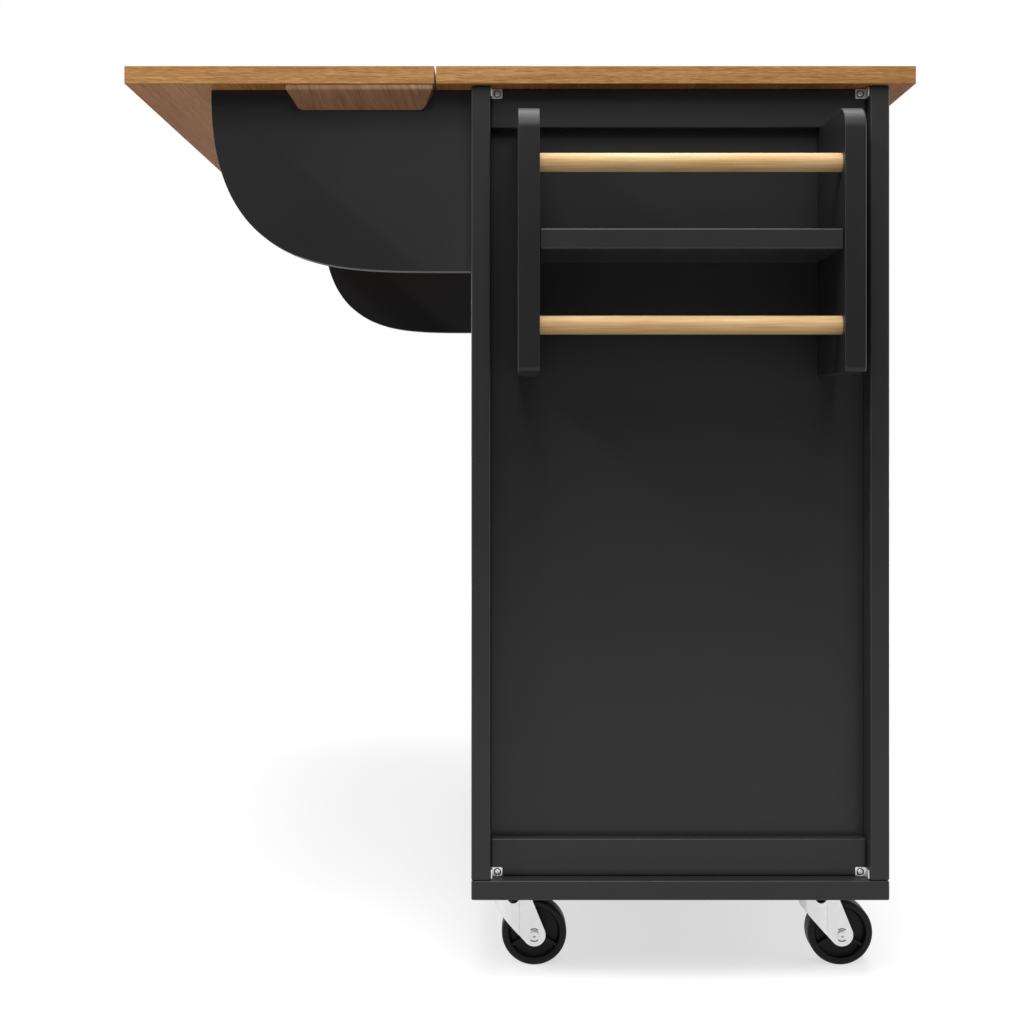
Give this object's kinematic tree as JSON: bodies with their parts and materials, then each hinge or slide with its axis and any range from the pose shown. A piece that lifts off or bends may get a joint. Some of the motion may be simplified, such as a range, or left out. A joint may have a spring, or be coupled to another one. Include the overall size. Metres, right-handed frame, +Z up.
{
  "type": "drop leaf kitchen island",
  "caption": "Rolling kitchen island with a drop leaf on swing-out brackets, an end rack with shelf and towel rail, drawers, doors and swivel casters.",
  "frame": {"origin": "on the floor under the middle of the whole island, rack and leaf included", "axes": "+Z up; the island's length runs along X with the rack at the -X end; the doors and drawers face -Y and the drop leaf is at +Y"},
  "size_m": [1.045, 0.785, 0.913],
  "materials": {
    "oak_board": "clear satin lacquer on warm oak",
    "walnut_block": "satin lacquer on walnut",
    "beech_rod": "clear lacquer on pale beech",
    "black_board": "satin black paint on board",
    "inner_board": "matt black foil on board",
    "zinc": "bright zinc plate",
    "black_steel": "satin black powder coat",
    "black_plastic": "moulded black plastic"
  },
  "bodies": {
    "cabinet": {"worktop": "oak_board", "base_board": "black_board", "front_rail": "black_board", "back_panel": "black_board", "drawer_deck": "black_board", "drawer_divider": "black_board", "rack_side_front": "black_board", "rack_side_back": "black_board", "rack_shelf": "black_board", "cabinet_shelf": "inner_board", "rack_rail_upper": "beech_rod", "rack_rail_lower": "beech_rod", "leaf_hinge_fixed": "zinc", "post_front_left": "black_board", "post_back_left": "black_board", "end_rail_upper_left": "black_board", "end_rail_lower_left": "black_board", "end_panel_left": "black_board", "support_hinge_fixed_left": "black_steel", "door_hinge_fixed_left": "black_steel", "caster_plate_front_left": "zinc", "caster_plate_back_left": "zinc", "post_front_right": "black_board", "post_back_right": "black_board", "end_rail_upper_right": "black_board", "end_rail_lower_right": "black_board", "end_panel_right": "black_board", "support_hinge_fixed_right": "black_steel", "door_hinge_fixed_right": "black_steel", "caster_plate_front_right": "zinc", "caster_plate_back_right": "zinc"},
    "leaf": {"drop_leaf": "oak_board", "leaf_hinge_moving": "zinc", "stop_block_left": "walnut_block", "stop_block_right": "walnut_block"},
    "bracket_left": {"support_bracket_left": "black_board", "support_hinge_moving_left": "black_steel"},
    "bracket_right": {"support_bracket_right": "black_board", "support_hinge_moving_right": "black_steel"},
    "door_swing_left": {"door_left": "black_board", "door_hinge_moving_left": "black_steel", "door_knob_left": "black_steel"},
    "door_swing_right": {"door_right": "black_board", "door_hinge_moving_right": "black_steel", "door_knob_right": "black_steel"},
    "drawer_left": {"drawer_front_left": "black_board", "drawer_box_left": "inner_board", "drawer_knob_left": "black_steel"},
    "drawer_right": {"drawer_front_right": "black_board", "drawer_box_right": "inner_board", "drawer_knob_right": "black_steel"},
    "fork_front_left": {"caster_fork_front_left": "zinc"},
    "wheel_front_left": {"caster_wheel_front_left": "black_plastic"},
    "fork_front_right": {"caster_fork_front_right": "zinc"},
    "wheel_front_right": {"caster_wheel_front_right": "black_plastic"},
    "fork_back_left": {"caster_fork_back_left": "zinc"},
    "wheel_back_left": {"caster_wheel_back_left": "black_plastic"},
    "fork_back_right": {"caster_fork_back_right": "zinc"},
    "wheel_back_right": {"caster_wheel_back_right": "black_plastic"}
  },
  "joints": [
    {"name": "leaf_lift", "type": "hinge", "parent": "cabinet", "child": "leaf", "pos_m": [0.04255, 0.0843, 0.8955], "axis": [1, 0, 0], "range_deg": [0, 4]},
    {"name": "bracket_fold_left", "type": "hinge", "parent": "cabinet", "child": "bracket_left", "pos_m": [-0.39065, 0.0513, 0.8], "axis": [0, 0, -1], "range_deg": [0, 90]},
    {"name": "bracket_fold_right", "type": "hinge", "parent": "cabinet", "child": "bracket_right", "pos_m": [0.47575, 0.0513, 0.8], "axis": [0, 0, 1], "range_deg": [0, 90]},
    {"name": "door_hinge_left", "type": "hinge", "parent": "cabinet", "child": "door_swing_left", "pos_m": [-0.38805, -0.3707, 0.4], "axis": [0, 0, -1], "range_deg": [0, 110]},
    {"name": "door_hinge_right", "type": "hinge", "parent": "cabinet", "child": "door_swing_right", "pos_m": [0.47315, -0.3707, 0.4], "axis": [0, 0, 1], "range_deg": [0, 110]},
    {"name": "drawer_slide_left", "type": "slide", "parent": "cabinet", "child": "drawer_left", "axis": [0, -1, 0], "range_m": [0, 0.26]},
    {"name": "drawer_slide_right", "type": "slide", "parent": "cabinet", "child": "drawer_right", "axis": [0, -1, 0], "range_m": [0, 0.26]},
    {"name": "swivel_front_left", "type": "hinge", "parent": "cabinet", "child": "fork_front_left", "pos_m": [-0.36905, -0.3096, 0.079], "axis": [0, 0, 1], "continuous": true},
    {"name": "wheel_turn_front_left", "type": "hinge", "parent": "fork_front_left", "child": "wheel_front_left", "pos_m": [-0.36905, -0.3311, 0.03341], "axis": [1, 0, 0], "continuous": true},
    {"name": "swivel_front_right", "type": "hinge", "parent": "cabinet", "child": "fork_front_right", "pos_m": [0.45415, -0.3096, 0.079], "axis": [0, 0, 1], "continuous": true},
    {"name": "wheel_turn_front_right", "type": "hinge", "parent": "fork_front_right", "child": "wheel_front_right", "pos_m": [0.45415, -0.3311, 0.03341], "axis": [1, 0, 0], "continuous": true},
    {"name": "swivel_back_left", "type": "hinge", "parent": "cabinet", "child": "fork_back_left", "pos_m": [-0.36905, 0.0064, 0.079], "axis": [0, 0, 1], "continuous": true},
    {"name": "wheel_turn_back_left", "type": "hinge", "parent": "fork_back_left", "child": "wheel_back_left", "pos_m": [-0.36905, -0.0151, 0.03341], "axis": [1, 0, 0], "continuous": true},
    {"name": "swivel_back_right", "type": "hinge", "parent": "cabinet", "child": "fork_back_right", "pos_m": [0.45415, 0.0064, 0.079], "axis": [0, 0, 1], "continuous": true},
    {"name": "wheel_turn_back_right", "type": "hinge", "parent": "fork_back_right", "child": "wheel_back_right", "pos_m": [0.45415, -0.0151, 0.03341], "axis": [1, 0, 0], "continuous": true}
  ]
}
